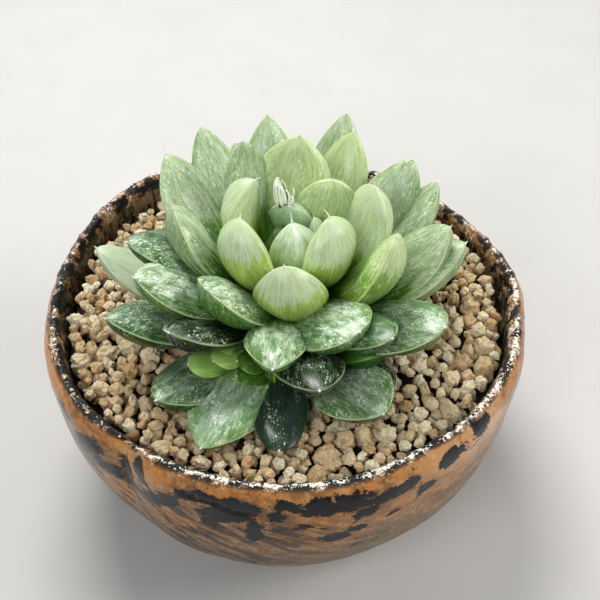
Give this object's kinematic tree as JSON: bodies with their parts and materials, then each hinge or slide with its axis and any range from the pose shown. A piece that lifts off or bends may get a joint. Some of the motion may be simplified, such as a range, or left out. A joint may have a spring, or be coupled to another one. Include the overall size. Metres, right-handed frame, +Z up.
{
  "type": "potted succulent",
  "caption": "Rosette succulent with plump pointed leaves and small offsets, growing in a round glazed stoneware bowl filled with gravel.",
  "frame": {"origin": "middle of the bowl's foot ring, on the surface that it stands on", "axes": "+Z up, -Y towards the viewer of the picture"},
  "size_m": [0.1214, 0.1236, 0.0916],
  "materials": {
    "glaze": "glossy rust-brown stoneware glaze with dark blotches, more matte low down",
    "gravel": "dry fired-clay grains, tan, matte",
    "screen": "black plastic mesh",
    "stem": "short fleshy stem",
    "leaf_inner": "pale yellow-green flesh with light streaks, half gloss",
    "leaf_middle": "mid green flesh with white flecks, half gloss",
    "leaf_outer": "dark green flesh with grey-green windows and white flecks, half gloss",
    "leaf_pup": "smooth glossy mid green",
    "bud": "pale bristles"
  },
  "bodies": {
    "root": {"bowl": "glaze", "drain_screen": "screen", "stem": "stem", "flower_bud": "bud", "leaf_f": "leaf_inner", "leaf_heart_a": "leaf_outer", "leaf_heart_b": "leaf_outer", "leaf_c": "leaf_inner", "leaf_b": "leaf_inner", "leaf_e": "leaf_inner", "leaf_d": "leaf_inner", "leaf_a": "leaf_inner", "leaf_q": "leaf_inner", "leaf_h": "leaf_inner", "leaf_g": "leaf_inner", "leaf_u": "leaf_inner", "leaf_n": "leaf_middle", "leaf_k": "leaf_inner", "leaf_o": "leaf_middle", "leaf_m": "leaf_middle", "leaf_l": "leaf_middle", "leaf_behind_h": "leaf_middle", "leaf_i": "leaf_middle", "leaf_j": "leaf_middle", "leaf_aa": "leaf_middle", "leaf_s": "leaf_middle", "leaf_cc": "leaf_middle", "leaf_v": "leaf_middle", "leaf_x": "leaf_middle", "leaf_p": "leaf_middle", "leaf_r": "leaf_middle", "leaf_t": "leaf_outer", "leaf_bb": "leaf_outer", "leaf_z": "leaf_outer", "leaf_dd": "leaf_outer", "leaf_w": "leaf_outer", "leaf_y": "leaf_outer", "leaf_ee": "leaf_outer", "leaf_ff": "leaf_outer", "leaf_hh": "leaf_outer", "leaf_gg": "leaf_outer", "leaf_jj": "leaf_outer", "leaf_kk": "leaf_outer", "leaf_ll": "leaf_outer", "leaf_ii": "leaf_outer", "leaf_back_a": "leaf_outer", "leaf_back_b": "leaf_outer", "leaf_back_c": "leaf_outer", "leaf_back_d": "leaf_outer", "leaf_back_e": "leaf_outer", "leaf_back_f": "leaf_outer", "leaf_back_g": "leaf_outer", "leaf_back_h": "leaf_outer", "leaf_back_i": "leaf_outer", "pup_left": "leaf_pup", "pup_right": "leaf_pup", "soil": "gravel"}
  },
  "joints": []
}
